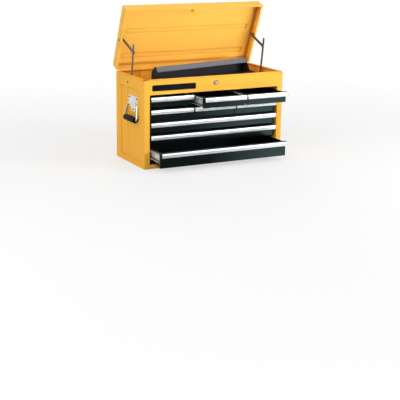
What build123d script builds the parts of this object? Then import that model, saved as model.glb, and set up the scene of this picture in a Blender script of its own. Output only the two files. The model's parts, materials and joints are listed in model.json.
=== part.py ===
"""Steel top chest for tools: nine drawers, a stayed lid and a loose tote tray.

Frame: X to the right, Y to the back, Z up, origin at the centre of the base.
The chest is drawn as it stands in use: lid propped open, three drawers pulled out.
"""
import os
from math import cos, radians, sin, tan

from build123d import *

# Overall sizes
chest_width = 660
chest_depth = 285
body_height = 372
lid_height = 41.5
lid_gap = 0.5
lid_open_angle = 68
sheet = 1.0

# Shared clearances
running_fit = 0.05
sliding_fit = 0.1
free_gap = 0.4

# Body frame
post_width = 25
post_return = 40
rear_return = 26
rim_fold = 12
fascia_height = 63.2
fascia_return = 20
bottom_rail_height = 17.5
bottom_rail_return = 15
corner_radius = 2.5
corner_notch = 14
corner_notch_drop = 4
rim_crease_drop = 5.5
rim_crease_width = 1
rim_crease_depth = 0.4

# Pressed panels of the side walls: distances from the front face and from the base
recess_front = 33
recess_length = 146
recess_foot = 19
recess_head = 48
recess_depth = 4
groove_front = 187
groove_width = 62
groove_depth = 6
press_slope = 6
press_corner = 14

# Drawer layout, from the underside of the fascia downwards
row_count = 5
split_row_count = 2
column_count = 3
row_pitch = 53.4
top_row_gap = 10.6
small_front_height = 45.4
bottom_front_height = 64.2
front_side_gap = 5
column_gap = 5
front_recess = 15
front_return = 5
frame_setback = 2

# Drawer boxes and their runners
drawer_wall = 0.9
box_back_gap = 23
box_foot = 3
box_top_drop = 2
runner_height = 35
runner_top_drop = 6.5
runner_sheet = 1.2
runner_depth = 11
runner_space = 13
runner_hole_radius = 3
runner_hole_step = 38
runner_front_gap = 1.5
cabinet_runner_back_gap = 3.5
drawer_runner_back_gap = 2

# Drawer pulls
pull_depth = 20
pull_height = 18
pull_wall = 1.8
pull_clip = 7
pull_hook = 3.5
pull_groove = 0.6
pull_groove_width = 1.6
pull_round = 1.2

# How far the three pulled drawers stand out
upper_pull_out = 92
lower_pull_out = 103
pulled_drawers = {(0, 1): upper_pull_out, (0, 2): upper_pull_out, (4, 0): lower_pull_out}

# Dividers between the small drawers, and the shelf that carries them
divider_thickness = 2
divider_foot = 12
shelf_lip = 4

# Lid
lid_corner_radius = 6
lid_edge_radius = 4
lid_hem = 8
lid_rib_width = 27
lid_rib_end_gap = 32
lid_rib_rise = 3.5
lid_rib_slope = 3
lid_rib_corner = 11
front_rib_reach = 165
back_rib_reach = 46

# Piano hinge
knuckle_radius = 2.5
hinge_pin_radius = 1.5
knuckle_count = 15
hinge_leaf_height = 22
hinge_end_gap = 12

# Lid stays
stay_lid_reach = 139.4
stay_lid_rise = 15.4
stay_body_reach = 125.1
stay_body_drop = 29.8
stay_lower_length = 124.4
stay_lower_lean = 8
stay_inset = 14
stay_width = 12
stay_thickness = 2
stay_tail = 30
stay_pin_radius = 2.5
stay_head_radius = 4.5
stay_head_height = 1.8
stay_boss_radius = 4.5
knee_pin_radius = 2
knee_head_radius = 6
knee_play = 2.6

# Lock and catch
lock_drop = 26.5
lock_flange_radius = 12
lock_flange_height = 2.5
lock_barrel_radius = 9.5
lock_barrel_length = 18.5
lock_plug_radius = 6.5
lock_plug_proud = 0.8
key_slot_width = 1.6
key_slot_length = 8
key_slot_depth = 6
cam_length = 20
cam_half_width = 4
cam_thickness = 2
catch_thickness = 1.5
catch_width = 16
catch_side_gap = 1
catch_plate_height = 18
catch_foot_length = 8
catch_play = 1

# Badge plate, bare
badge_length = 200
badge_height = 25
badge_thickness = 1.2
badge_corner = 5
badge_end_gap = 11
badge_drop = 35.5

# Side handles: heights count from the pivot, which lies below the recess's top edge
handle_front = 116
handle_drop = 67
strap_wall = 1.6
strap_hood_half = 38
strap_plate_half = 44
strap_plate_foot = 5
strap_plate_rise = 34
strap_skirt_fall = 14
strap_tongue_half = 18
strap_tongue_fall = 31
strap_corner = 7
dome_length = 56
dome_height = 34
dome_middle_rise = 14
dome_proud = 5
dome_slope = 12
dome_shoulder = 0.67
rivet_half_spacing = 36
upper_rivet_rise = 25
lower_rivet_fall = 23
rivet_radius = 2
rivet_head_radius = 3.6
rivet_head_height = 1.5
bail_wire_radius = 3.2
bail_strap_fit = 0.15
bail_top_half = 46
bail_bottom_half = 60
bail_drop = 62
bail_bend = 6
bail_hang_angle = 10
bail_end_half = 30
grip_radius = 13
grip_round = 6
grip_end_gap = 1

# Rod cover on the back wall of the top compartment
cover_width = 46
cover_depth = 16
cover_height = 54
cover_side_gap = 114

# Tote tray, turned a little as it stands in the compartment
tray_end_gap = 73
tray_front_reach = 62
tray_back_reach = 24
tray_apex_height = 100
tray_back_height = 77
tray_front_height = 47
tray_slope_reach = 34
tray_apex_half = 4
tray_turn = 13.6
tray_centre_x = 4
tray_centre_y = -5
tray_seat_gap = 0.2
ridge_drop = 1.2
ridge_front_width = 20
ridge_sheet = 2.4

# Places worked out from the sizes above
half_width = chest_width / 2
half_depth = chest_depth / 2
inner_half = half_width - sheet
opening_half = half_width - post_width
front_y = -half_depth
back_y = half_depth
fascia_bottom = body_height - fascia_height
floor_under = fascia_bottom + sheet
floor_top = floor_under + sheet
front_panel_y = front_y + front_recess
front_back_y = front_panel_y + sheet
frame_front_y = front_back_y + front_return + frame_setback
runner_front_y = frame_front_y + runner_front_gap
back_inner_y = back_y - sheet
rear_post_y = back_inner_y - sheet
drawer_back_y = back_inner_y - box_back_gap
hinge_y = back_y + knuckle_radius + free_gap
hinge_z = body_height
row_top = fascia_bottom - top_row_gap
lock_z = body_height - lock_drop
recess_height = body_height - recess_head - recess_foot
handle_y = front_y + handle_front
handle_z = body_height - recess_head - handle_drop
stay_pivot_y = hinge_y - stay_body_reach
stay_pivot_z = hinge_z - stay_body_drop
stay_outer_face = inner_half - stay_inset
stay_inner_face = stay_outer_face - stay_thickness
upper_outer_face = stay_inner_face - free_gap
upper_inner_face = upper_outer_face - stay_thickness
strap_seat_x = half_width - recess_depth
axle_x = strap_seat_x + bail_wire_radius + bail_strap_fit
rivet_places = [
    (handle_y - rivet_half_spacing, handle_z + upper_rivet_rise),
    (handle_y + rivet_half_spacing, handle_z + upper_rivet_rise),
    (handle_y, handle_z - lower_rivet_fall),
]
crease_z = (body_height - rim_crease_drop, body_height - rim_crease_drop + rim_crease_width)
tray_length = 2 * (inner_half - tray_end_gap)

opening = radians(lid_open_angle)
lid_plane = Plane(
    origin=(0, hinge_y, hinge_z), x_dir=(1, 0, 0), z_dir=(0, sin(opening), cos(opening))
)
stay_lid_y = hinge_y - stay_lid_reach * cos(opening) + stay_lid_rise * sin(opening)
stay_lid_z = hinge_z + stay_lid_reach * sin(opening) + stay_lid_rise * cos(opening)
knee_y = stay_pivot_y - stay_lower_length * sin(radians(stay_lower_lean))
knee_z = stay_pivot_z + stay_lower_length * cos(radians(stay_lower_lean))

os.makedirs("parts", exist_ok=True)


def slab(x, y, z, mode=Mode.ADD):
    """Add or cut a block that fills three spans, each given by its two ends."""
    spans = (x, y, z)
    with Locations(tuple(sum(span) / 2 for span in spans)):
        Box(*(abs(span[1] - span[0]) for span in spans), mode=mode)


def rod(x, y, z, radius, mode=Mode.ADD):
    """Add or cut a round rod along X between two places."""
    with Locations(Location((sum(x) / 2, y, z), (0, 90, 0))):
        Cylinder(radius, abs(x[1] - x[0]), mode=mode)


def bore(y, x, z, radius, mode=Mode.ADD):
    """Add or cut a round rod along Y between two places."""
    with Locations(Location((x, sum(y) / 2, z), (90, 0, 0))):
        Cylinder(radius, abs(y[1] - y[0]), mode=mode)


def pressed_field(plane, length, width, depth, slope, corner):
    """Press a field of the sheet along the plane's normal, at an even thickness."""
    for start, mode in ((sheet, Mode.ADD), (0, Mode.SUBTRACT)):
        with BuildSketch(plane.offset(start)) as rim:
            RectangleRounded(length, width, corner)
        with BuildSketch(plane.offset(start + depth)) as field:
            RectangleRounded(length - 2 * slope, width - 2 * slope, corner - slope)
        loft([rim.sketch, field.sketch], mode=mode)


def save(builder, name):
    """Label a finished piece and write it out."""
    builder.part.label = name
    export_step(builder.part, f"parts/{name}.step")


# Side walls: outer skin, front post and rear post in one folded sheet
def side_panel(side, name):
    skin = (side * half_width, side * inner_half)
    post = (side * half_width, side * opening_half)
    inner_return = (side * (opening_half + sheet), side * opening_half)
    recess_y = front_y + recess_front + recess_length / 2
    recess_z = recess_foot + recess_height / 2
    groove_y = front_y + groove_front + groove_width / 2
    with BuildPart() as panel:
        slab(skin, (front_y, back_y), (0, body_height))
        slab(post, (front_y, front_y + sheet), (0, body_height))
        outer_corner = panel.edges().filter_by(Axis.Z).sort_by_distance(
            (side * half_width, front_y, body_height / 2)
        )[0]
        fillet(outer_corner, corner_radius)
        slab(inner_return, (front_y, front_y + post_return), (bottom_rail_height, fascia_bottom))
        slab(post, (rear_post_y, back_inner_y), (sheet, floor_under))
        slab(inner_return, (rear_post_y - rear_return, back_inner_y), (sheet, floor_under))
        slab(
            (side * half_width, side * (half_width - rim_fold)),
            (front_y + corner_radius, back_inner_y),
            (body_height - sheet, body_height),
        )
        for y, width, depth in (
            (recess_y, recess_length, recess_depth),
            (groove_y, groove_width, groove_depth),
        ):
            face = Plane(
                origin=(side * half_width, y, recess_z), x_dir=(0, 1, 0), z_dir=(-side, 0, 0)
            )
            pressed_field(face, width, recess_height, depth, press_slope, press_corner)
        slab(
            (side * half_width, side * (half_width - corner_notch)),
            (front_y, front_y + corner_notch),
            (body_height - corner_notch_drop, body_height),
            Mode.SUBTRACT,
        )
        crease_x = (side * half_width, side * (half_width - rim_crease_depth))
        slab(crease_x, (front_y, back_y), crease_z, Mode.SUBTRACT)
        slab(post, (front_y, front_y + rim_crease_depth), crease_z, Mode.SUBTRACT)
        rod(skin, stay_pivot_y, stay_pivot_z, stay_pin_radius + running_fit, Mode.SUBTRACT)
        recess_skin = (side * half_width, side * (strap_seat_x - 2 * sheet))
        for y, z in rivet_places:
            rod(recess_skin, y, z, rivet_radius + running_fit, Mode.SUBTRACT)
    save(panel, name)


side_panel(-1, "left_side_panel")
side_panel(1, "right_side_panel")

# Back wall with its top fold
with BuildPart() as back_panel:
    slab((-inner_half, inner_half), (back_inner_y, back_y), (0, body_height))
    fold_half = half_width - rim_fold - free_gap
    slab((-fold_half, fold_half), (back_y - rim_fold, back_y), (body_height - sheet, body_height))
save(back_panel, "back_panel")

# Floor pan with the bottom rail folded up at its front
with BuildPart() as bottom_pan:
    slab((-inner_half, inner_half), (front_y + sheet, back_inner_y), (0, sheet))
    slab((-opening_half, opening_half), (front_y, front_y + sheet), (0, bottom_rail_height))
    slab(
        (-opening_half, opening_half),
        (front_y, front_y + bottom_rail_return),
        (bottom_rail_height - sheet, bottom_rail_height),
    )
save(bottom_pan, "bottom_pan")

# Fascia above the drawers
with BuildPart() as fascia:
    fascia_span = (-opening_half, opening_half)
    slab(fascia_span, (front_y, front_y + sheet), (fascia_bottom, body_height))
    slab(fascia_span, (front_y, front_y + fascia_return), (fascia_bottom, floor_under))
    slab(fascia_span, (front_y, front_y + rim_fold), (body_height - sheet, body_height))
    slab(fascia_span, (front_y, front_y + rim_crease_depth), crease_z, Mode.SUBTRACT)
    bore((front_y, front_y + sheet), 0, lock_z, lock_barrel_radius + running_fit, Mode.SUBTRACT)
save(fascia, "front_fascia")

# Floor of the top compartment
with BuildPart() as compartment_floor:
    pressed_half = inner_half - groove_depth
    slab((-pressed_half, pressed_half), (front_y + sheet, back_inner_y), (floor_under, floor_top))
save(compartment_floor, "compartment_floor")

# Drawer rows and columns
front_half = opening_half - front_side_gap
column_width = (2 * front_half - (column_count - 1) * column_gap) / column_count
column_step = column_width + column_gap
divider_places = [(index - column_count / 2 + 1) * column_step for index in range(column_count - 1)]
shelf_row_top = row_top - split_row_count * row_pitch
shelf_z = shelf_row_top + (row_pitch - small_front_height) / 2 - sheet


def front_top(row):
    return row_top - row * row_pitch


def front_height(row):
    return bottom_front_height if row == row_count - 1 else small_front_height


def front_bottom(row):
    return front_top(row) - front_height(row)


def runner_middle(row):
    return front_top(row) - runner_top_drop - runner_height / 2


def columns(row):
    return column_count if row < split_row_count else 1


def front_span(row, column):
    if columns(row) == 1:
        return (-front_half, front_half)
    low = -front_half + column * column_step
    return (low, low + column_width)


def bay_span(row, column):
    """The clear space between the two faces that carry a drawer's runners."""
    low, high = -opening_half, opening_half
    if column > 0:
        low = divider_places[column - 1] + divider_thickness / 2
    if column < columns(row) - 1:
        high = divider_places[column] - divider_thickness / 2
    return (low, high)


# Shelf under the small drawers
with BuildPart() as divider_shelf:
    slab((-opening_half, opening_half), (frame_front_y, back_inner_y), (shelf_z, shelf_z + sheet))
    slab(
        (-opening_half, opening_half),
        (frame_front_y, frame_front_y + sheet),
        (shelf_z - shelf_lip, shelf_z),
    )
save(divider_shelf, "divider_shelf")


# Upright dividers between the small drawers
def divider(place, name):
    low = place - divider_thickness / 2
    shelf_top = shelf_z + sheet
    with BuildPart() as upright:
        slab((low, low + divider_thickness), (frame_front_y, back_inner_y), (shelf_top, floor_under))
        slab((low, low + divider_foot), (frame_front_y, back_inner_y), (shelf_top, shelf_top + sheet))
    save(upright, name)


for place, name in zip(divider_places, ("left_divider", "right_divider")):
    divider(place, name)


def channel(seat, side, y, middle, height, depth):
    """A runner channel: a web on its seat with two flanges that reach to one side."""
    low, high = middle - height / 2, middle + height / 2
    slab((seat, seat + side * runner_sheet), y, (low, high))
    slab((seat, seat + side * depth), y, (low, low + runner_sheet))
    slab((seat, seat + side * depth), y, (high - runner_sheet, high))


# Fixed runners, two for each drawer
with BuildPart() as cabinet_runners:
    for row in range(row_count):
        for column in range(columns(row)):
            low, high = bay_span(row, column)
            runner_y = (runner_front_y, back_inner_y - cabinet_runner_back_gap)
            for seat, side in ((low, 1), (high, -1)):
                channel(seat, side, runner_y, runner_middle(row), runner_height, runner_depth)
save(cabinet_runners, "cabinet_runners")


# A drawer: folded box, its two moving runners and its pull
def drawer(row, column, name):
    shift = -pulled_drawers.get((row, column), 0)
    front_x = front_span(row, column)
    bay = bay_span(row, column)
    box_x = (bay[0] + runner_space, bay[1] - runner_space)
    top, bottom = front_top(row), front_bottom(row)
    panel_y = front_panel_y + shift
    panel_back = front_back_y + shift
    box_y = (panel_back, drawer_back_y + shift)
    box_z = (bottom + box_foot, top - box_top_drop)
    lip_y = panel_y - pull_depth
    ledge_front = lip_y + pull_wall

    with BuildPart() as box:
        slab(front_x, (panel_y, panel_back), (bottom, top))
        slab(front_x, (ledge_front, panel_back), (top - sheet, top))
        for edge, side in ((front_x[0], 1), (front_x[1], -1)):
            slab((edge, edge + side * sheet), (panel_y, panel_back + front_return), (bottom, top))
        slab(box_x, box_y, box_z)
        slab(
            (box_x[0] + drawer_wall, box_x[1] - drawer_wall),
            (box_y[0], box_y[1] - drawer_wall),
            (box_z[0] + drawer_wall, box_z[1]),
            Mode.SUBTRACT,
        )
    save(box, f"{name}_box")

    inner_height = runner_height - 2 * runner_sheet - 2 * sliding_fit
    runner_y = (runner_front_y + shift, box_y[1] - drawer_runner_back_gap)
    with BuildPart() as runners:
        for seat, side in ((box_x[0], -1), (box_x[1], 1)):
            channel(seat, side, runner_y, runner_middle(row), inner_height, runner_depth)
            for index in range(int((runner_y[1] - runner_y[0]) / runner_hole_step)):
                hole_y = runner_y[0] + (index + 0.5) * runner_hole_step
                web = (seat, seat + side * runner_sheet)
                rod(web, hole_y, runner_middle(row), runner_hole_radius, Mode.SUBTRACT)
    save(runners, f"{name}_runners")

    clip_top = top - sheet
    hook_z = top - pull_height
    with BuildPart() as pull:
        with BuildSketch(Plane.YZ.offset(front_x[0])):
            with BuildLine():
                Polyline(
                    (lip_y, top),
                    (ledge_front, top),
                    (ledge_front, clip_top),
                    (lip_y + pull_clip, clip_top),
                    (lip_y + pull_clip, clip_top - pull_wall),
                    (ledge_front, clip_top - pull_wall),
                    (ledge_front, hook_z + pull_wall),
                    (lip_y + pull_hook, hook_z + pull_wall),
                    (lip_y + pull_hook, hook_z),
                    (lip_y, hook_z),
                    close=True,
                )
            make_face()
        extrude(amount=front_x[1] - front_x[0])
        fillet(pull.edges().filter_by(Axis.X).sort_by(Axis.Y).group_by(Axis.Y)[0], pull_round)
        groove_z = top - pull_height / 2
        slab(
            front_x,
            (lip_y, lip_y + pull_groove),
            (groove_z - pull_groove_width / 2, groove_z + pull_groove_width / 2),
            Mode.SUBTRACT,
        )
    save(pull, f"{name}_pull")


column_names = ("left", "middle", "right")
for row in range(row_count):
    for column in range(columns(row)):
        place = f"_{column_names[column]}" if columns(row) > 1 else ""
        drawer(row, column, f"row{row + 1}{place}_drawer")

# Lid shell, drawn on its own turned plane with the hinge axis as origin
lid_front = front_y - hinge_y
lid_back = back_y - hinge_y
lid_top = lid_gap + lid_height
lid_up = Axis(lid_plane.origin, lid_plane.z_dir)
with BuildPart(lid_plane) as lid_shell:
    slab((-half_width, half_width), (lid_front, lid_back), (lid_gap, lid_top))
    fillet(lid_shell.edges().filter_by(lid_up), lid_corner_radius)
    fillet(lid_shell.faces().sort_by(lid_up)[-1].edges(), lid_edge_radius)
    offset(amount=-sheet, openings=lid_shell.faces().sort_by(lid_up)[0])
    hem_z = (lid_gap, lid_gap + sheet)
    for side in (-1, 1):
        hem_x = (side * half_width, side * (half_width - lid_hem))
        slab(hem_x, (lid_front + lid_corner_radius, lid_back - lid_corner_radius), hem_z)
        rod(
            (side * half_width, side * inner_half),
            -stay_lid_reach,
            stay_lid_rise,
            stay_pin_radius + running_fit,
            Mode.SUBTRACT,
        )
    front_hem_half = half_width - lid_corner_radius
    slab((-front_hem_half, front_hem_half), (lid_front, lid_front + lid_hem), hem_z)
    for reach in (front_rib_reach, back_rib_reach):
        rib_plane = Plane(
            origin=lid_plane.from_local_coords((0, -reach, lid_top - sheet)),
            x_dir=lid_plane.x_dir,
            z_dir=lid_plane.z_dir,
        )
        rib_length = chest_width - 2 * lid_rib_end_gap
        pressed_field(
            rib_plane, rib_length, lid_rib_width, lid_rib_rise, lid_rib_slope, lid_rib_corner
        )
save(lid_shell, "lid_shell")

# Piano hinge: two leaves with alternate knuckles on one long pin
hinge_length = chest_width - 2 * hinge_end_gap
knuckle_step = hinge_length / knuckle_count
neck_start = knuckle_radius / 4


def hinge_leaf(builder_plane, leaf_y, axis_y, up, first, name):
    """One leaf in its own plane: up is 1 for the lid's leaf and -1 for the body's."""
    leaf_z = (up * (knuckle_radius + free_gap), up * hinge_leaf_height)
    with BuildPart(builder_plane) as leaf:
        slab((-hinge_length / 2, hinge_length / 2), (leaf_y, leaf_y + sheet), leaf_z)
        for index in range(first, knuckle_count, 2):
            low = -hinge_length / 2 + index * knuckle_step
            span = (low + free_gap / 2, low + knuckle_step - free_gap / 2)
            slab(span, (leaf_y, leaf_y + sheet), (up * neck_start, leaf_z[0]))
            rod(span, axis_y, 0, knuckle_radius)
            rod(span, axis_y, 0, hinge_pin_radius + running_fit, Mode.SUBTRACT)
    save(leaf, name)


hinge_leaf(Plane.XY.offset(hinge_z), back_y, hinge_y, -1, 0, "hinge_leaf_body")
hinge_leaf(lid_plane, lid_back, 0, 1, 1, "hinge_leaf_lid")

with BuildPart() as hinge_pin:
    rod((-hinge_length / 2, hinge_length / 2), hinge_y, hinge_z, hinge_pin_radius)
save(hinge_pin, "hinge_pin")


def stay_bar(start, end, extra, face, side):
    """A flat bar with round ends from one pivot to another, and past it by extra."""
    run = Vector(0, end[0] - start[0], end[1] - start[1])
    length = run.length + extra
    plane = Plane(origin=(side * face, *start), x_dir=run, z_dir=(1, 0, 0))
    with BuildSketch(plane) as outline:
        with Locations((length / 2, 0)):
            SlotCenterToCenter(length, stay_width)
    extrude(outline.sketch, amount=side * stay_thickness)


def wall_pin(face, y, z, side):
    """A pivot pin with a boss that spaces a link off the wall it is riveted through."""
    head = half_width + free_gap
    rod((side * face, side * (inner_half - free_gap)), y, z, stay_boss_radius)
    rod((side * face, side * head), y, z, stay_pin_radius)
    rod((side * head, side * (head + stay_head_height)), y, z, stay_head_radius)


# Folding stays: the lower link carries the knee pin, the upper link hangs from the lid
def stay(side, name):
    pivot = (stay_pivot_y, stay_pivot_z)
    knee = (knee_y, knee_z)
    lid_pivot = (stay_lid_y, stay_lid_z)
    with BuildPart() as lower:
        stay_bar(pivot, knee, stay_tail, stay_inner_face, side)
        wall_pin(stay_outer_face, *pivot, side)
        knee_head = upper_inner_face - free_gap
        rod((side * stay_inner_face, side * knee_head), *knee, knee_pin_radius)
        rod((side * knee_head, side * (knee_head - stay_head_height)), *knee, knee_head_radius)
    save(lower, f"{name}_stay_lower")
    with BuildPart() as upper:
        stay_bar(lid_pivot, knee, 0, upper_inner_face, side)
        wall_pin(upper_outer_face, *lid_pivot, side)
        upper_bar = (side * upper_inner_face, side * upper_outer_face)
        rod(upper_bar, *knee, knee_pin_radius + knee_play, Mode.SUBTRACT)
    save(upper, f"{name}_stay_upper")


stay(-1, "left")
stay(1, "right")

# Lock: housing in the fascia, turning plug and cam
lock_back_y = front_y + lock_barrel_length
lock_face_y = front_y - lock_flange_height
cam_y = lock_back_y + free_gap
with BuildPart() as lock_housing:
    bore((lock_face_y, front_y), 0, lock_z, lock_flange_radius)
    fillet(lock_housing.edges().sort_by(Axis.Y)[0], lock_flange_height / 2)
    bore((front_y, lock_back_y), 0, lock_z, lock_barrel_radius)
    bore((lock_face_y, lock_back_y), 0, lock_z, lock_plug_radius + running_fit, Mode.SUBTRACT)
save(lock_housing, "lock_housing")

with BuildPart() as lock_plug:
    plug_face_y = lock_face_y - lock_plug_proud
    bore((plug_face_y, cam_y), 0, lock_z, lock_plug_radius)
    slab(
        (-key_slot_width / 2, key_slot_width / 2),
        (plug_face_y, plug_face_y + key_slot_depth),
        (lock_z - key_slot_length / 2, lock_z + key_slot_length / 2),
        Mode.SUBTRACT,
    )
save(lock_plug, "lock_plug")

with BuildPart() as lock_cam:
    cam_span = (cam_y, cam_y + cam_thickness)
    bore(cam_span, 0, lock_z, lock_plug_radius)
    slab((-cam_half_width, cam_half_width), cam_span, (lock_z, lock_z + cam_length - cam_half_width))
    bore(cam_span, 0, lock_z + cam_length - cam_half_width, cam_half_width)
save(lock_cam, "lock_cam")

# Catch on the lid: its foot passes under the cam when the lid is shut
with BuildPart(lid_plane) as lid_catch:
    catch_near = -lock_barrel_radius - catch_side_gap
    catch_x = (catch_near - catch_width, catch_near)
    seat_y = lid_front + sheet
    ledge_z = lid_gap + sheet
    strip_y = lock_back_y - catch_thickness - hinge_y
    foot_top = lock_z - cam_half_width - catch_play - hinge_z
    slab(catch_x, (seat_y, seat_y + catch_thickness), (ledge_z, ledge_z + catch_plate_height))
    slab(catch_x, (seat_y, strip_y + catch_thickness), (ledge_z, ledge_z + catch_thickness))
    slab(catch_x, (strip_y, strip_y + catch_thickness), (foot_top - catch_thickness, ledge_z))
    slab(catch_x, (strip_y, strip_y + catch_foot_length), (foot_top - catch_thickness, foot_top))
save(lid_catch, "lid_catch")

# Bare badge plate on the fascia
with BuildPart() as badge_plate:
    with BuildSketch(Plane.XZ.offset(-front_y)):
        with Locations((-opening_half + badge_end_gap + badge_length / 2, body_height - badge_drop)):
            RectangleRounded(badge_length, badge_height, badge_corner)
    extrude(amount=badge_thickness)
save(badge_plate, "badge_plate")


# Drop handles: a domed strap on the side wall, a wire bail and its grip
def handle(side, name):
    clear_radius = bail_wire_radius + bail_strap_fit
    hood_radius = clear_radius + strap_wall
    strap_y = (handle_y - strap_hood_half, handle_y + strap_hood_half)
    seat_to_axle = (side * strap_seat_x, side * axle_x)
    strap_plane = Plane(
        origin=(side * strap_seat_x, handle_y, handle_z), x_dir=(0, side, 0), z_dir=(side, 0, 0)
    )
    plate_height = strap_plate_rise - strap_plate_foot
    skirt_height = strap_plate_foot + strap_skirt_fall
    tongue_height = strap_tongue_fall - strap_skirt_fall + strap_corner
    with BuildPart() as strap:
        with BuildSketch(strap_plane):
            with Locations((0, strap_plate_foot + plate_height / 2)):
                RectangleRounded(2 * strap_plate_half, plate_height, strap_corner)
            with Locations((0, strap_plate_foot + strap_corner - (skirt_height + strap_corner) / 2)):
                Rectangle(2 * strap_hood_half, skirt_height + strap_corner)
            with Locations((0, tongue_height / 2 - strap_tongue_fall)):
                RectangleRounded(2 * strap_tongue_half, tongue_height, strap_corner)
        extrude(amount=strap_wall)
        dome_steps = ((0, 0), (dome_slope / 2, dome_shoulder), (dome_slope, 1))
        dome_sections = []
        for inset, share in dome_steps:
            with BuildSketch(strap_plane.offset(strap_wall + share * dome_proud)) as section:
                with Locations((0, dome_middle_rise)):
                    width, height = dome_length - 2 * inset, dome_height - 2 * inset
                    RectangleRounded(width, height, height / 2 - free_gap)
            dome_sections.append(section.sketch)
        loft(dome_sections)
        slab(seat_to_axle, strap_y, (handle_z - hood_radius, handle_z + hood_radius))
        bore(strap_y, side * axle_x, handle_z, hood_radius)
        slab(seat_to_axle, strap_y, (handle_z - clear_radius, handle_z + clear_radius), Mode.SUBTRACT)
        bore(strap_y, side * axle_x, handle_z, clear_radius, Mode.SUBTRACT)
        behind_seat = (side * (strap_seat_x - hood_radius), side * strap_seat_x)
        slab(behind_seat, strap_y, (handle_z - hood_radius, handle_z + hood_radius), Mode.SUBTRACT)
        for y, z in rivet_places:
            shank = (side * strap_seat_x, side * (strap_seat_x + strap_wall))
            rod(shank, y, z, rivet_radius + running_fit, Mode.SUBTRACT)
    save(strap, f"{name}_handle_strap")

    hang = radians(bail_hang_angle)
    bail_plane = Plane(
        origin=(side * axle_x, handle_y, handle_z), x_dir=(0, 1, 0), z_dir=(cos(hang), 0, side * sin(hang))
    )
    with BuildPart() as bail:
        with BuildLine(bail_plane) as wire:
            FilletPolyline(
                (-bail_end_half, -bail_drop),
                (-bail_bottom_half, -bail_drop),
                (-bail_top_half, 0),
                (bail_top_half, 0),
                (bail_bottom_half, -bail_drop),
                (bail_end_half, -bail_drop),
                radius=bail_bend,
            )
        with BuildSketch(Plane(origin=wire.line @ 0, z_dir=wire.line % 0)):
            Circle(bail_wire_radius)
        sweep(path=wire.line)
    save(bail, f"{name}_handle_bail")

    bend_turn = 180 - Vector(bail_bottom_half - bail_top_half, bail_drop).get_angle(Vector(1, 0))
    straight_half = bail_bottom_half - bail_bend * tan(radians(bend_turn / 2))
    with BuildPart(bail_plane) as grip:
        with Locations(Location((0, -bail_drop, 0), (0, 90, 0))):
            Cylinder(grip_radius, 2 * (straight_half - grip_end_gap))
            fillet(grip.edges().filter_by(GeomType.CIRCLE), grip_round)
            Cylinder(bail_wire_radius + running_fit, 2 * straight_half, mode=Mode.SUBTRACT)
    save(grip, f"{name}_handle_grip")


handle(-1, "left")
handle(1, "right")

with BuildPart() as handle_rivets:
    for side in (-1, 1):
        head_x = strap_seat_x + strap_wall
        tail_x = strap_seat_x - sheet
        for y, z in rivet_places:
            rod((side * head_x, side * (head_x + rivet_head_height)), y, z, rivet_head_radius)
            rod((side * head_x, side * tail_x), y, z, rivet_radius)
            rod((side * tail_x, side * (tail_x - rivet_head_height)), y, z, rivet_head_radius)
save(handle_rivets, "handle_rivets")

# Folded cover on the back wall of the top compartment
with BuildPart() as rod_cover:
    cover_low = -inner_half + cover_side_gap
    cover_x = (cover_low, cover_low + cover_width)
    cover_y = (back_inner_y - cover_depth, back_inner_y)
    cover_z = (floor_top, floor_top + cover_height)
    slab(cover_x, cover_y, cover_z)
    slab(
        (cover_x[0] + sheet, cover_x[1] - sheet),
        (cover_y[0] + sheet, cover_y[1]),
        (cover_z[0], cover_z[1] - sheet),
        Mode.SUBTRACT,
    )
save(rod_cover, "rod_cover")

# Tote tray: open box with gabled ends, and a folded ridge to lift it by
turn = radians(tray_turn)
tray_plane = Plane(
    origin=(tray_centre_x, tray_centre_y, floor_top + tray_seat_gap),
    x_dir=(cos(turn), sin(turn), 0),
    z_dir=(0, 0, 1),
)


def tray_section(x):
    """The plane across the tray at a distance along its length."""
    return Plane(
        origin=tray_plane.from_local_coords((x, 0, 0)), x_dir=tray_plane.y_dir, z_dir=tray_plane.x_dir
    )


with BuildPart(tray_plane) as tote_tray:
    tray_x = (-tray_length / 2, tray_length / 2)
    slab(tray_x, (-tray_front_reach, tray_back_reach), (0, sheet))
    slab(tray_x, (-tray_front_reach, sheet - tray_front_reach), (0, tray_front_height))
    slab(tray_x, (tray_back_reach - sheet, tray_back_reach), (0, tray_back_height))
    for end in (tray_x[0], tray_x[1] - sheet):
        with BuildSketch(tray_section(end)):
            with BuildLine():
                Polyline(
                    (-tray_front_reach, 0),
                    (-tray_front_reach, tray_front_height),
                    (-tray_slope_reach, tray_front_height),
                    (-tray_apex_half, tray_apex_height),
                    (tray_apex_half, tray_apex_height),
                    (tray_back_reach, tray_back_height),
                    (tray_back_reach, 0),
                    close=True,
                )
            make_face()
        extrude(amount=sheet)
save(tote_tray, "tote_tray")

with BuildPart() as tray_ridge:
    ridge_top = tray_apex_height - ridge_drop
    slope = Vector(tray_apex_half - tray_slope_reach, tray_front_height - tray_apex_height).normalized()
    front_edge = Vector(-tray_apex_half, ridge_top) + slope * ridge_front_width
    back_edge = Vector(tray_back_reach - sheet, tray_back_height - ridge_drop)
    roof = [front_edge, Vector(-tray_apex_half, ridge_top), Vector(tray_apex_half, ridge_top), back_edge]
    under = [point - Vector(0, ridge_sheet) for point in reversed(roof)]
    ridge_half = tray_length / 2 - sheet
    with BuildSketch(tray_section(-ridge_half)):
        with BuildLine():
            Polyline(*roof, *under, close=True)
        make_face()
    extrude(amount=2 * ridge_half)
save(tray_ridge, "tray_ridge")
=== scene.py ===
import json
from math import cos, pi, radians, sin

import bpy
from mathutils import Matrix, Vector

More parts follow.
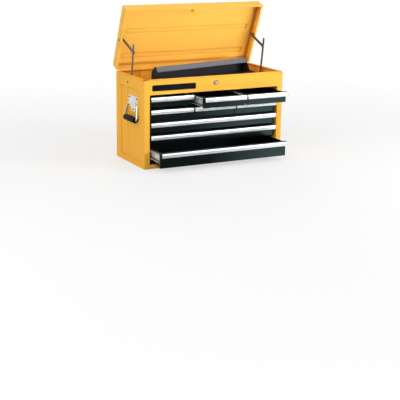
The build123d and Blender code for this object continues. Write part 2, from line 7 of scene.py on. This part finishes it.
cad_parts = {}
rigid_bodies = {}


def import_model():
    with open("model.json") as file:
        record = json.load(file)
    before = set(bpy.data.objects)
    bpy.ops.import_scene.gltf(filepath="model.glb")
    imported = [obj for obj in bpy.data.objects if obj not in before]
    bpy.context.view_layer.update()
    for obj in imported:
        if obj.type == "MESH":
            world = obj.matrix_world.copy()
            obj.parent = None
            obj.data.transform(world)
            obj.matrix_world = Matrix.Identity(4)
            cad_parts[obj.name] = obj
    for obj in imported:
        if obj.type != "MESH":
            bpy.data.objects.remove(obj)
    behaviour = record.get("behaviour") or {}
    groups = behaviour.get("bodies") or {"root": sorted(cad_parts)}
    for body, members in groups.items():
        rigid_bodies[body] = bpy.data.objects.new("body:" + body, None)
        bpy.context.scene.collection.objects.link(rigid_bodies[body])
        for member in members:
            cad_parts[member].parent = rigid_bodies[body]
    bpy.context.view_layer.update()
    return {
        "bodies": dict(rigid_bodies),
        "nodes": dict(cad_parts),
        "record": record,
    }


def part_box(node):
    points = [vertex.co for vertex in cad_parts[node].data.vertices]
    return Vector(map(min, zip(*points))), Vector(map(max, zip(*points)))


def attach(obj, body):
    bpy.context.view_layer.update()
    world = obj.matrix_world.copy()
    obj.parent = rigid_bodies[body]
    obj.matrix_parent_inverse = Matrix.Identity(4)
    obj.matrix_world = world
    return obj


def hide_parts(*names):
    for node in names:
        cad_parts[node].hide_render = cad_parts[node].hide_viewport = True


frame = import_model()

nodes = frame["nodes"]
drawerNames = sorted(body for body in frame["bodies"] if body.endswith("_drawer"))
along = 0.9  # a face looks along an axis if its normal has this share there
hair = 1e-5  # what lies closer than this, in metres, is in the same place
print("frame loaded:", len(nodes), "nodes,", len(drawerNames), "drawers")


# ways of working

def selectOnly(*pieces):  # the first one becomes the active one
    if bpy.context.object and bpy.context.object.mode != "OBJECT":
        bpy.ops.object.mode_set(mode="OBJECT")
    bpy.ops.object.select_all(action="DESELECT")
    for piece in pieces:
        piece.select_set(True)
    if pieces:
        bpy.context.view_layer.objects.active = pieces[0]


def named(name):
    piece = bpy.context.object
    piece.name = name
    piece.data.name = name
    return piece


def applyPlace(*pieces):
    selectOnly(*pieces)
    bpy.ops.object.transform_apply(location=True, rotation=True, scale=True)


def pick(piece, kind, test):  # leaves edit mode on, with what passes the test selected
    bpy.context.view_layer.objects.active = piece
    bpy.ops.object.mode_set(mode="EDIT")
    bpy.ops.mesh.select_mode(type=kind)
    bpy.ops.mesh.select_all(action="DESELECT")
    bpy.ops.object.mode_set(mode="OBJECT")
    mesh = piece.data
    if kind == "FACE":
        for face in mesh.polygons:
            face.select = test(face.center, face.normal)
    else:
        for edge in mesh.edges:
            ends = [mesh.vertices[index].co for index in edge.vertices]
            edge.select = test(*ends)
    bpy.ops.object.mode_set(mode="EDIT")


def cutAcross(piece, places):  # rings of new edges at places along Y
    bpy.context.view_layer.objects.active = piece
    for place in places:
        bpy.ops.object.mode_set(mode="EDIT")
        bpy.ops.mesh.select_all(action="SELECT")
        bpy.ops.mesh.bisect(plane_co=(0, place, 0), plane_no=(0, 1, 0))
    bpy.ops.object.mode_set(mode="OBJECT")


def roundEdges(piece, width, angle=40):
    selectOnly(piece)
    bevel = piece.modifiers.new("edges", "BEVEL")
    bevel.width = width
    bevel.segments = 2
    bevel.limit_method = "ANGLE"
    bevel.angle_limit = radians(angle)
    bpy.ops.object.modifier_apply(modifier=bevel.name)


def smooth(piece, angle=35):
    selectOnly(piece)
    bpy.ops.object.shade_smooth_by_angle(angle=radians(angle))


def joinUp(pieces, name):
    applyPlace(*pieces)
    bpy.ops.object.join()
    return named(name)


def copiesAt(piece, places, name):  # one piece modelled once, copied to each place and joined
    copies = []
    for place in places:
        copy = piece.copy()
        copy.data = piece.data.copy()
        bpy.context.collection.objects.link(copy)
        copy.matrix_world = place
        copies.append(copy)
    return joinUp(copies, name)


def dress(piece, body, slot):
    piece.data.materials.clear()
    piece.data.materials.append(finishes[slot])
    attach(piece, body)


# finishes

def newGroup(name, inputs, outputs):  # every socket but Vector holds a number
    group = bpy.data.node_groups.new(name, "ShaderNodeTree")
    for direction, labels in (("INPUT", inputs), ("OUTPUT", outputs)):
        for label in labels:
            kind = "NodeSocketVector" if label == "Vector" else "NodeSocketFloat"
            group.interface.new_socket(label, in_out=direction, socket_type=kind)
    given = group.nodes.new("NodeGroupInput").outputs
    result = group.nodes.new("NodeGroupOutput").inputs
    return group, given, result


def noise(tree, vector, scale, detail, roughness=0.5):
    node = tree.nodes.new("ShaderNodeTexNoise")
    node.inputs["Detail"].default_value = detail
    node.inputs["Roughness"].default_value = roughness
    tree.links.new(vector, node.inputs["Vector"])
    if isinstance(scale, float):
        node.inputs["Scale"].default_value = scale
    else:
        tree.links.new(scale, node.inputs["Scale"])
    return node.outputs["Fac"]


def spread(tree, value, low, high, start=0.3, end=0.7):  # a mask stretched between two values
    node = tree.nodes.new("ShaderNodeMapRange")
    node.inputs["From Min"].default_value = start
    node.inputs["From Max"].default_value = end
    node.inputs["To Min"].default_value = low
    node.inputs["To Max"].default_value = high
    tree.links.new(value, node.inputs["Value"])
    return node.outputs["Result"]


def joinMasks(tree, first, second, operation):
    node = tree.nodes.new("ShaderNodeMath")
    node.operation = operation
    node.use_clamp = True
    tree.links.new(first, node.inputs[0])
    tree.links.new(second, node.inputs[1])
    return node.outputs[0]


def splitVector(tree, vector):
    node = tree.nodes.new("ShaderNodeSeparateXYZ")
    tree.links.new(vector, node.inputs[0])
    return node.outputs


def blendColours(tree, mask, first, second):
    node = tree.nodes.new("ShaderNodeMix")
    node.data_type = "RGBA"
    if isinstance(first, tuple):
        node.inputs["A"].default_value = (*first, 1)
    else:
        tree.links.new(first, node.inputs["A"])
    node.inputs["B"].default_value = (*second, 1)
    tree.links.new(mask, node.inputs["Factor"])
    return node.outputs["Result"]


# sprayed powder: fine orange peel, cloudy tone and gloss
powderGrain = {"peelDetail": 2.0, "peelRoughness": 0.6, "cloudDetail": 3.0, "glossScale": 38.0,
               "glossDetail": 4.0, "peelHeight": 0.0004, "dustFrom": 0.5, "dustTo": 0.9}
powderSkin, given, result = newGroup(
    "powderSkin", ("Vector", "Peel", "Cloud"), ("Height", "Tone", "Gloss"))
peel = noise(powderSkin, given["Vector"], given["Peel"], powderGrain["peelDetail"],
             powderGrain["peelRoughness"])
cloud = noise(powderSkin, given["Vector"], given["Cloud"], powderGrain["cloudDetail"])
sheen = noise(powderSkin, given["Vector"], powderGrain["glossScale"], powderGrain["glossDetail"])
powderSkin.links.new(peel, result["Height"])
powderSkin.links.new(spread(powderSkin, cloud, 0, 1), result["Tone"])
powderSkin.links.new(spread(powderSkin, sheen, 0, 1), result["Gloss"])

# painted shade: a mask, from local occlusion, of the places where folded sheet turns inwards, where
# the colour is darkened as shade
creaseRange = {"samples": 8, "closed": 0.66, "open": 0.98}
paintedCreaseShade, given, result = newGroup("paintedCreaseShade", ("Reach",), ("PaintedShadeMask",))
openness = paintedCreaseShade.nodes.new("ShaderNodeAmbientOcclusion")
openness.samples = creaseRange["samples"]
openness.only_local = True
paintedCreaseShade.links.new(given["Reach"], openness.inputs["Distance"])
paintedShade = spread(paintedCreaseShade, openness.outputs["AO"], 1, 0, creaseRange["closed"], creaseRange["open"])
paintedCreaseShade.links.new(paintedShade, result["PaintedShadeMask"])

# drawn or rolled metal: fine lines along the stretched axis and a slow change of tone
metalGrain = {"lineScale": 1.0, "lineDetail": 5.0, "lineRoughness": 0.65, "toneScale": 0.35,
              "toneDetail": 2.0, "lineHeight": 0.0002}
drawnLines, given, result = newGroup("drawnLines", ("Vector",), ("Lines", "Tone"))
lines = noise(drawnLines, given["Vector"], metalGrain["lineScale"], metalGrain["lineDetail"],
              metalGrain["lineRoughness"])
tone = noise(drawnLines, given["Vector"], metalGrain["toneScale"], metalGrain["toneDetail"])
drawnLines.links.new(spread(drawnLines, lines, 0, 1), result["Lines"])
drawnLines.links.new(spread(drawnLines, tone, 0, 1), result["Tone"])


def useGroup(tree, group, vector=None, **values):
    node = tree.nodes.new("ShaderNodeGroup")
    node.node_tree = group
    if vector:
        tree.links.new(vector, node.inputs["Vector"])
    for label, value in values.items():
        node.inputs[label].default_value = value
    return node.outputs


def newFinish(name):
    material = bpy.data.materials.new(name)
    material.use_nodes = True
    tree = material.node_tree
    places = tree.nodes.new("ShaderNodeTexCoord").outputs
    return material, tree, tree.nodes["Principled BSDF"], places


def colourIn(tree, shader, mask, look):  # two tones, and a deeper one painted in creases as shade
    colour = blendColours(tree, mask, look["light"], look["deep"])
    if "paintedShade" in look:
        shade = useGroup(tree, paintedCreaseShade, Reach=look["reach"])
        colour = blendColours(tree, shade["PaintedShadeMask"], colour, look["paintedShade"])
    tree.links.new(colour, shader.inputs["Base Color"])


def roughen(tree, shader, height, strength, distance, below=None):
    bump = tree.nodes.new("ShaderNodeBump")
    bump.inputs["Strength"].default_value = strength
    bump.inputs["Distance"].default_value = distance
    tree.links.new(height, bump.inputs["Height"])
    if below:
        tree.links.new(below, bump.inputs["Normal"])
    tree.links.new(bump.outputs["Normal"], shader.inputs["Normal"])


def crownNormal(tree, place, slope):  # the slightly rounded front of each row's pull
    low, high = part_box("row5_drawer_pull")
    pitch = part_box("row4_drawer_pull")[0].z - low.z
    local = tree.nodes.new("ShaderNodeMath")  # every row's height counted from the lowest row
    local.operation = "WRAP"
    local.inputs[1].default_value = low.z + pitch
    local.inputs[2].default_value = low.z
    tree.links.new(splitVector(tree, place)["Z"], local.inputs[0])
    lean = tree.nodes.new("ShaderNodeCombineXYZ")
    tree.links.new(spread(tree, local.outputs[0], -slope, slope, low.z, high.z), lean.inputs["Z"])
    leaning = tree.nodes.new("ShaderNodeVectorMath")
    tree.links.new(tree.nodes.new("ShaderNodeNewGeometry").outputs["Normal"], leaning.inputs[0])
    tree.links.new(lean.outputs[0], leaning.inputs[1])
    unit = tree.nodes.new("ShaderNodeVectorMath")
    unit.operation = "NORMALIZE"
    tree.links.new(leaning.outputs[0], unit.inputs[0])
    return unit.outputs[0]


def powderFinish(name, look):
    material, tree, shader, places = newFinish(name)
    skin = useGroup(tree, powderSkin, places["Object"], Peel=look["peel"], Cloud=look["cloud"])
    colourIn(tree, shader, skin["Tone"], look)
    gloss = spread(tree, skin["Gloss"], *look["roughness"], 0, 1)
    if "ledge" in look:  # faces that look up are dull with dust
        upward = splitVector(tree, places["Normal"])["Z"]
        dust = spread(tree, upward, 0, look["ledge"], powderGrain["dustFrom"], powderGrain["dustTo"])
        gloss = joinMasks(tree, gloss, dust, "MAXIMUM")
    tree.links.new(gloss, shader.inputs["Roughness"])
    shader.inputs["Specular IOR Level"].default_value = look["specular"]
    if "tint" in look:
        shader.inputs["Specular Tint"].default_value = (*look["tint"], 1)
    roughen(tree, shader, skin["Height"], look["bump"], powderGrain["peelHeight"])
    return material


def metalFinish(name, look):
    material, tree, shader, places = newFinish(name)
    stretch = tree.nodes.new("ShaderNodeMapping")
    stretch.inputs["Scale"].default_value = look["stretch"]
    tree.links.new(places["Object"], stretch.inputs["Vector"])
    drawn = useGroup(tree, drawnLines, stretch.outputs["Vector"])
    colourIn(tree, shader, drawn["Tone"], look)
    gloss = spread(tree, drawn["Lines"], *look["roughness"], 0, 1)
    tree.links.new(gloss, shader.inputs["Roughness"])
    shader.inputs["Metallic"].default_value = look["metallic"]
    crown = None
    if "crown" in look:
        crown = crownNormal(tree, places["Object"], look["crown"])
    roughen(tree, shader, drawn["Lines"], look["bump"], metalGrain["lineHeight"], crown)
    return material


# the paintedShade colours are painted shade: a darker colour in folds, ribs, channels and grooves
bodySheet = {"peel": 900.0, "cloud": 5.0, "roughness": (0.60, 0.68), "specular": 0.3, "bump": 0.05,
             "paintedShade": (0.52, 0.20, 0.006), "reach": 0.014}
traySheet = {"peel": 600.0, "cloud": 9.0, "roughness": (0.30, 0.38), "bump": 0.10}
powderLooks = {
    "yellow_paint": {"light": (0.92, 0.460, 0.042), "deep": (0.89, 0.440, 0.038), **bodySheet},
    # the lid's paint is the yellow paint made paler: painted light on the lid
    "lid_paint_painted_light": {"light": (0.89, 0.50, 0.078), "deep": (0.86, 0.48, 0.072), **bodySheet},
    "black_paint": {"light": (0.0024, 0.0036, 0.0039), "deep": (0.0018, 0.0027, 0.0029),
                    "peel": 900.0, "cloud": 6.0, "roughness": (0.14, 0.19), "specular": 0.75,
                    "bump": 0.03, "tint": (0.62, 1.0, 1.0), "ledge": 1.0},
    # tray_grey and ridge_grey are a shaded and a lit copy of one dark tray paint: painted shade in
    # the tray, painted light on the ridge
    "tray_grey": {"light": (0.020, 0.019, 0.023), "deep": (0.016, 0.015, 0.019), "specular": 0.15,
                  **traySheet},
    "ridge_grey": {"light": (0.118, 0.126, 0.142), "deep": (0.104, 0.112, 0.128), "specular": 0.5,
                   **traySheet},
    "badge_black": {"light": (0.006, 0.006, 0.007), "deep": (0.005, 0.005, 0.006), "peel": 1400.0,
                    "cloud": 20.0, "roughness": (0.14, 0.20), "specular": 0.25, "bump": 0.03},
    "grip_black": {"light": (0.004, 0.004, 0.004), "deep": (0.003, 0.003, 0.003), "peel": 1600.0,
                   "cloud": 30.0, "roughness": (0.45, 0.56), "specular": 0.08, "bump": 0.25},
}
metalLooks = {
    # painted shade inside the runner channels
    "zinc_steel": {"light": (0.92, 0.95, 0.98), "deep": (0.84, 0.87, 0.90), "metallic": 0.6,
                   "stretch": (300, 12, 300), "roughness": (0.30, 0.44), "bump": 0.06,
                   "paintedShade": (0.05, 0.05, 0.05), "reach": 0.010},
    "stay_steel": {"light": (0.115, 0.098, 0.078), "deep": (0.085, 0.072, 0.056), "metallic": 0.7,
                   "stretch": (300, 300, 40), "roughness": (0.32, 0.44), "bump": 0.05},
    "chrome_plate": {"light": (0.72, 0.72, 0.71), "deep": (0.66, 0.66, 0.65), "metallic": 0.9,
                     "stretch": (60, 60, 60), "roughness": (0.12, 0.20), "bump": 0.02},
    "lock_nickel": {"light": (0.47, 0.40, 0.20), "deep": (0.36, 0.305, 0.15), "metallic": 0.9,
                    "stretch": (400, 400, 400), "roughness": (0.22, 0.32), "bump": 0.04},
    # the handle rivets are real, but their dark colour is a painted dark reflection on the chrome
    # strap
    "rivet_painted_dark_reflection": {"light": (0.10, 0.10, 0.10), "deep": (0.06, 0.06, 0.06), "metallic": 0.8,
                   "stretch": (60, 60, 60), "roughness": (0.25, 0.35), "bump": 0.02},
    # painted shade in the pull's groove and hollows
    "pull_aluminium": {"light": (0.89, 0.91, 0.92), "deep": (0.83, 0.85, 0.86), "metallic": 0.55,
                       "stretch": (9, 1500, 1500), "roughness": (0.30, 0.40), "bump": 0.02,
                       "crown": 0.28, "paintedShade": (0.30, 0.31, 0.32), "reach": 0.0025},
}
finishes = {name: powderFinish(name, look) for name, look in powderLooks.items()}
finishes.update({name: metalFinish(name, look) for name, look in metalLooks.items()})
# some nodes take another finish than their slot: the lid a paler copy of the yellow paint as painted
# light, the lock a nickel finish, the handle rivets a dark finish as painted dark reflection
finishByNode = {"lid_shell": "lid_paint_painted_light", "lock_housing": "lock_nickel", "lock_plug": "lock_nickel",
           "handle_rivets": "rivet_painted_dark_reflection"}
for subpart in frame["record"]["subparts"]:
    cadPiece = nodes[subpart["node"]]
    finish = finishByNode.get(subpart["node"], subpart["material_slot"])
    cadPiece.data.materials.clear()
    cadPiece.data.materials.append(finishes[finish])
print("finishes made:", len(finishes))


# moulded sleeves on the drop handles, in place of the plain grips
gripSleeve = {"sides": 48, "endRound": 0.0055, "endSegments": 5, "edgeRound": 0.0004,
              "grooveWidth": 0.0022, "grooveDepth": 0.0009, "grooveInsets": (0.012, 0.018),
              "boreRadius": 0.0034, "boreDepth": 0.004}


def makeGripSleeve(side):
    node = f"{side}_handle_grip"
    low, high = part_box(node)
    radius, half = (high.z - low.z) / 2, (high.y - low.y) / 2
    selectOnly()
    bpy.ops.mesh.primitive_cylinder_add(
        vertices=gripSleeve["sides"], radius=radius, depth=2 * half, rotation=(pi / 2, 0, 0))
    sleeve = named(f"{side}GripSleeve")
    applyPlace(sleeve)
    width = gripSleeve["grooveWidth"]
    cuts = []
    for inset in gripSleeve["grooveInsets"]:
        for sign in (-1, 1):
            place = sign * (half - inset)
            cuts += [place - width / 2, place + width / 2]
    cutAcross(sleeve, cuts + [0.0])

    def inGroove(centre, normal):
        return abs(normal.y) < along and any(
            abs(abs(centre.y) - half + inset) < width / 2 for inset in gripSleeve["grooveInsets"])
    pick(sleeve, "FACE", inGroove)
    bpy.ops.transform.shrink_fatten(value=-gripSleeve["grooveDepth"])
    pick(sleeve, "FACE", lambda centre, normal: abs(normal.y) > along)
    bpy.ops.mesh.inset(thickness=radius - gripSleeve["boreRadius"], depth=0)
    bpy.ops.mesh.extrude_region_shrink_fatten(
        TRANSFORM_OT_shrink_fatten={"value": -gripSleeve["boreDepth"]})

    def onRim(first, second):
        return all(abs(abs(end.y) - half) < hair and Vector((end.x, 0, end.z)).length > radius - hair
                   for end in (first, second))
    pick(sleeve, "EDGE", onRim)
    bpy.ops.mesh.bevel(offset=gripSleeve["endRound"], segments=gripSleeve["endSegments"],
                       affect="EDGES")
    bpy.ops.object.mode_set(mode="OBJECT")
    roundEdges(sleeve, gripSleeve["edgeRound"])
    sleeve.location = (low + high) / 2
    applyPlace(sleeve)
    smooth(sleeve, 40)
    dress(sleeve, f"{side}_handle", "grip_black")
    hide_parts(node)


for side in ("left", "right"):
    makeGripSleeve(side)
print("grip sleeves made")


# domed heads: hinge screws and the rivets that hold the runners to the boxes
domedHead = {"segments": 16, "rings": 8, "flatness": 0.45}


def makeDome(radius, name):  # a dome that looks along +Z, its seat at the origin
    selectOnly()
    bpy.ops.mesh.primitive_uv_sphere_add(
        segments=domedHead["segments"], ring_count=domedHead["rings"], radius=radius)
    dome = named(name)
    bpy.ops.object.mode_set(mode="EDIT")
    bpy.ops.mesh.select_all(action="SELECT")
    bpy.ops.mesh.bisect(plane_co=(0, 0, 0), plane_no=(0, 0, 1), clear_inner=True, use_fill=True)
    bpy.ops.mesh.select_all(action="SELECT")
    bpy.ops.transform.resize(value=(1, 1, domedHead["flatness"]))
    bpy.ops.object.mode_set(mode="OBJECT")
    return dome


def facing(point, direction):
    turn = Vector((0, 0, 1)).rotation_difference(Vector(direction)).to_matrix().to_4x4()
    return Matrix.Translation(point) @ turn


hingeScrews = {"count": 9, "radius": 0.0026, "endGap": 0.035, "reach": 0.0135, "leafSheet": 0.001,
               "lidTilt": 68}


def makeHingeScrews():
    dome = makeDome(hingeScrews["radius"], "hingeScrewHead")
    low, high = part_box("hinge_leaf_body")
    pinLow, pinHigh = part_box("hinge_pin")
    pin = (pinLow + pinHigh) / 2
    step = (high.x - low.x - 2 * hingeScrews["endGap"]) / (hingeScrews["count"] - 1)
    axis = [Vector((low.x + hingeScrews["endGap"] + step * index, pin.y, pin.z))
            for index in range(hingeScrews["count"])]
    seat = low.y + hingeScrews["leafSheet"] - pin.y
    tilt = radians(hingeScrews["lidTilt"])
    outward = Vector((0, cos(tilt), -sin(tilt)))  # the open lid's back looks this way
    upward = Vector((0, sin(tilt), cos(tilt)))
    leaves = (("hingeScrewsBody", "chest_body", Vector((0, 1, 0)), Vector((0, 0, -1))),
              ("hingeScrewsLid", "lid", outward, upward))
    for name, body, out, away in leaves:
        places = [facing(point + out * seat + away * hingeScrews["reach"], out) for point in axis]
        screws = copiesAt(dome, places, name)
        smooth(screws)
        dress(screws, body, "yellow_paint")
    bpy.data.objects.remove(dome)


makeHingeScrews()
print("hinge screws made")


runnerRivets = {"radius": 0.0032, "step": 0.076, "first": 0.038, "webInset": 0.0098}


def makeRunnerRivets():
    dome = makeDome(runnerRivets["radius"], "runnerRivetHead")
    inset = runnerRivets["webInset"]  # from a runner's flange edge to the web's outer face
    for name in drawerNames:
        low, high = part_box(f"{name}_runners")
        middle = (low.z + high.z) / 2
        places = []
        for index in range(int((high.y - low.y) / runnerRivets["step"])):
            y = low.y + runnerRivets["first"] + index * runnerRivets["step"]
            places.append(facing((low.x + inset, y, middle), (-1, 0, 0)))
            places.append(facing((high.x - inset, y, middle), (1, 0, 0)))
        rivets = copiesAt(dome, places, f"{name}_rivets")
        smooth(rivets)
        dress(rivets, name, "zinc_steel")
    bpy.data.objects.remove(dome)


makeRunnerRivets()
print("runner rivets made")


# black plastic caps on both ends of every pull
pullCaps = {"wrap": 0.0008, "stand": 0.0008, "proud": 0.00005, "rim": 0.0012, "recess": 0.0003,
            "edgeRound": 0.00025}


def makePullCaps(name):
    low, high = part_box(f"{name}_pull")
    middle = (low + high) / 2
    skin = 2 * pullCaps["proud"]
    selectOnly()
    bpy.ops.mesh.primitive_cube_add(size=1)
    cap = named("pullCap")
    cap.scale = (pullCaps["wrap"] + pullCaps["stand"], high.y - low.y + skin, high.z - low.z + skin)
    applyPlace(cap)
    pick(cap, "FACE", lambda centre, normal: normal.x > along)  # the outer face is dished
    bpy.ops.mesh.inset(thickness=pullCaps["rim"], depth=-pullCaps["recess"])
    bpy.ops.object.mode_set(mode="OBJECT")
    roundEdges(cap, pullCaps["edgeRound"])
    offset = (pullCaps["stand"] - pullCaps["wrap"]) / 2
    leftEnd = Matrix.Translation((low.x - offset, middle.y, middle.z)) @ Matrix.Rotation(pi, 4, "Z")
    rightEnd = Matrix.Translation((high.x + offset, middle.y, middle.z))
    caps = copiesAt(cap, [leftEnd, rightEnd], f"{name}_pullCaps")
    bpy.data.objects.remove(cap)
    smooth(caps, 40)
    dress(caps, name, "grip_black")


for name in drawerNames:
    makePullCaps(name)
print("pull caps made")


# rolled bead along the rim of the chest
rimBead = {"radius": 0.0026, "sides": 20, "proud": 0.0019, "notch": 0.0145, "backGap": 0.002,
           "edgeRound": 0.0008, "edgeAngle": 60}


def makeRimBead():
    low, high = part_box("left_side_panel")
    reach, top = abs(low.x), high.z - rimBead["radius"]
    sink = rimBead["proud"] - rimBead["radius"]
    frontY, backY = low.y + rimBead["notch"], high.y - rimBead["backGap"]
    sideLength, frontLength = backY - frontY, 2 * (reach - rimBead["notch"])
    runs = [((0, low.y - sink, top), (0, pi / 2, 0), frontLength)]
    for sign in (-1, 1):
        sideMiddle = (sign * (reach + sink), (frontY + backY) / 2, top)
        runs.append((sideMiddle, (pi / 2, 0, 0), sideLength))
    pieces = []
    for place, turn, length in runs:
        selectOnly()
        bpy.ops.mesh.primitive_cylinder_add(
            vertices=rimBead["sides"], radius=rimBead["radius"], depth=length, location=place,
            rotation=turn)
        pieces.append(named("rimBead"))
    bead = joinUp(pieces, "rimBead")
    roundEdges(bead, rimBead["edgeRound"], rimBead["edgeAngle"])
    smooth(bead, 40)
    dress(bead, "chest_body", "yellow_paint")


makeRimBead()
print("rim bead made")


# raised rim round the bare badge
badgeRim = {"inset": 0.0012, "width": 0.0012, "height": 0.0004, "corner": 0.0042, "cornerSegments": 6,
            "edgeRound": 0.00012}


def makeBadgeRim():
    low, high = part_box("badge_plate")
    selectOnly()
    bpy.ops.mesh.primitive_plane_add(size=1, rotation=(pi / 2, 0, 0))
    rim = named("badgeRim")
    rim.scale = (high.x - low.x - 2 * badgeRim["inset"], high.z - low.z - 2 * badgeRim["inset"], 1)
    rim.location = ((low.x + high.x) / 2, low.y, (low.z + high.z) / 2)
    applyPlace(rim)
    bpy.ops.object.mode_set(mode="EDIT")
    bpy.ops.mesh.select_all(action="SELECT")
    bpy.ops.mesh.bevel(offset=badgeRim["corner"], segments=badgeRim["cornerSegments"],
                       affect="VERTICES")
    bpy.ops.mesh.select_all(action="SELECT")
    bpy.ops.mesh.inset(thickness=badgeRim["width"], depth=0)
    bpy.ops.mesh.delete(type="FACE")
    bpy.ops.mesh.select_all(action="SELECT")
    bpy.ops.mesh.extrude_region_move(TRANSFORM_OT_translate={"value": (0, -badgeRim["height"], 0)})
    bpy.ops.mesh.select_all(action="SELECT")
    bpy.ops.mesh.normals_make_consistent(inside=False)
    bpy.ops.object.mode_set(mode="OBJECT")
    roundEdges(rim, badgeRim["edgeRound"])
    smooth(rim)
    dress(rim, "chest_body", "badge_black")


makeBadgeRim()
print("badge rim made")


# floor, light and camera
# the mirror values set a painted dark reflection: a patch of floor that only glossy rays see as dark
studio = {"floorSize": 16, "floorTint": (0.86, 0.86, 0.86), "nearGlow": 0.62, "farGlow": 1.0,
          "fade": (0.6, 2.4), "mirrorDark": 0.09, "mirrorSlant": 0.55, "mirrorRight": (-0.2, 0.12),
          "mirrorBehind": (-0.2, 0.05), "worldLow": 0.22, "worldHigh": 0.36}
lamps = {
    "keyLamp": {"place": (1.85, -2.0, 1.05), "size": 1.0, "watts": 47, "aim": (0, 0, 0.3)},
    "lidLamp": {"place": (0.9, -2.7, 0.75), "size": 0.5, "watts": 1.4, "aim": (0.05, 0, 0.72),
                "spread": 30},
    "fillLamp": {"place": (-2.6, -1.2, 1.7), "size": 1.8, "watts": 46, "aim": (0, 0, 0.2)},
    "topLamp": {"place": (0.3, -0.9, 3.2), "size": 2.2, "watts": 14, "aim": (0, -0.6, 0)},
    "backLamp": {"place": (0.9, 3.0, 1.5), "size": 2.0, "watts": 40, "aim": (0, 0, 0.3)},
}


def mixShaders(tree, mask, first, second):
    node = tree.nodes.new("ShaderNodeMixShader")
    tree.links.new(mask, node.inputs[0])
    tree.links.new(first, node.inputs[1])
    tree.links.new(second, node.inputs[2])
    return node.outputs[0]


def makeFloor():
    selectOnly()
    bpy.ops.mesh.primitive_plane_add(size=studio["floorSize"])
    floor = named("floor")
    material = bpy.data.materials.new("floorPale")
    material.use_nodes = True
    tree = material.node_tree
    tree.nodes.remove(tree.nodes["Principled BSDF"])
    place = tree.nodes.new("ShaderNodeTexCoord").outputs["Object"]
    diffuse = tree.nodes.new("ShaderNodeBsdfDiffuse")
    diffuse.inputs["Color"].default_value = (*studio["floorTint"], 1)
    away = tree.nodes.new("ShaderNodeVectorMath")  # far from the chest the floor fades to white
    away.operation = "LENGTH"
    tree.links.new(place, away.inputs[0])
    fade = spread(tree, away.outputs["Value"], studio["nearGlow"], studio["farGlow"], *studio["fade"])
    glow = tree.nodes.new("ShaderNodeEmission")
    seen = mixShaders(tree, fade, diffuse.outputs[0], glow.outputs[0])
    across = tree.nodes.new("ShaderNodeVectorMath")  # painted reflection: mirrors see the floor white but for a slanted dark patch
    across.operation = "DOT_PRODUCT"
    across.inputs[1].default_value = (1, studio["mirrorSlant"], 0)
    tree.links.new(place, across.inputs[0])
    right = spread(tree, across.outputs["Value"], 0, 1, *studio["mirrorRight"])
    behind = spread(tree, splitVector(tree, place)["Y"], 0, 1, *studio["mirrorBehind"])
    clear = joinMasks(tree, right, behind, "MAXIMUM")
    mirrored = tree.nodes.new("ShaderNodeEmission")
    tree.links.new(spread(tree, clear, studio["mirrorDark"], 1, 0, 1), mirrored.inputs["Strength"])
    path = tree.nodes.new("ShaderNodeLightPath").outputs
    surface = mixShaders(tree, path["Is Glossy Ray"], diffuse.outputs[0], mirrored.outputs[0])
    direct = joinMasks(tree, path["Is Camera Ray"], path["Is Transmission Ray"], "ADD")
    surface = mixShaders(tree, direct, surface, seen)
    tree.links.new(surface, tree.nodes["Material Output"].inputs["Surface"])
    floor.data.materials.append(material)


def makeWorld():  # white to look at and in mirrors, dim and even as a light
    world = bpy.data.worlds.new("studioWorld")
    bpy.context.scene.world = world
    world.use_nodes = True
    tree = world.node_tree
    ambient, white = tree.nodes["Background"], tree.nodes.new("ShaderNodeBackground")
    for background in (ambient, white):
        background.inputs["Color"].default_value = (1, 1, 1, 1)
    height = splitVector(tree, tree.nodes.new("ShaderNodeTexCoord").outputs["Generated"])["Z"]
    dome = spread(tree, height, studio["worldLow"], studio["worldHigh"], 0, 1)
    tree.links.new(dome, ambient.inputs["Strength"])
    path = tree.nodes.new("ShaderNodeLightPath").outputs
    direct = joinMasks(tree, path["Is Camera Ray"], path["Is Glossy Ray"], "ADD")
    direct = joinMasks(tree, direct, path["Is Transmission Ray"], "ADD")
    surface = mixShaders(tree, direct, ambient.outputs[0], white.outputs[0])
    tree.links.new(surface, tree.nodes["World Output"].inputs["Surface"])


def makeLamp(name, lamp):
    bpy.ops.object.light_add(type="AREA", location=lamp["place"])
    light = named(name)
    light.data.size = lamp["size"]
    light.data.energy = lamp["watts"]
    light.data.spread = radians(lamp.get("spread", 180))
    towards = Vector(lamp["aim"]) - Vector(lamp["place"])
    light.rotation_euler = towards.to_track_quat("-Z", "Y").to_euler()


makeFloor()
makeWorld()
for name, lamp in lamps.items():
    makeLamp(name, lamp)
bpy.context.scene.view_settings.view_transform = "Standard"
print("studio lit")

photoCamera = {"place": (-2.113946, -4.001942, 1.046911), "azimuth": -27.944, "elevation": 15.444,
               "roll": 0.856, "lens": 95.0735, "sensor": 36}


def makeCamera():
    bpy.ops.object.camera_add()
    camera = named("photoCamera")
    camera.data.lens = photoCamera["lens"]
    camera.data.sensor_width = photoCamera["sensor"]
    turn = (Matrix.Rotation(radians(photoCamera["azimuth"]), 4, "Z")
            @ Matrix.Rotation(radians(90 - photoCamera["elevation"]), 4, "X")
            @ Matrix.Rotation(radians(photoCamera["roll"]), 4, "Z"))
    camera.matrix_world = Matrix.Translation(photoCamera["place"]) @ turn
    bpy.context.scene.camera = camera


makeCamera()
print("camera set")
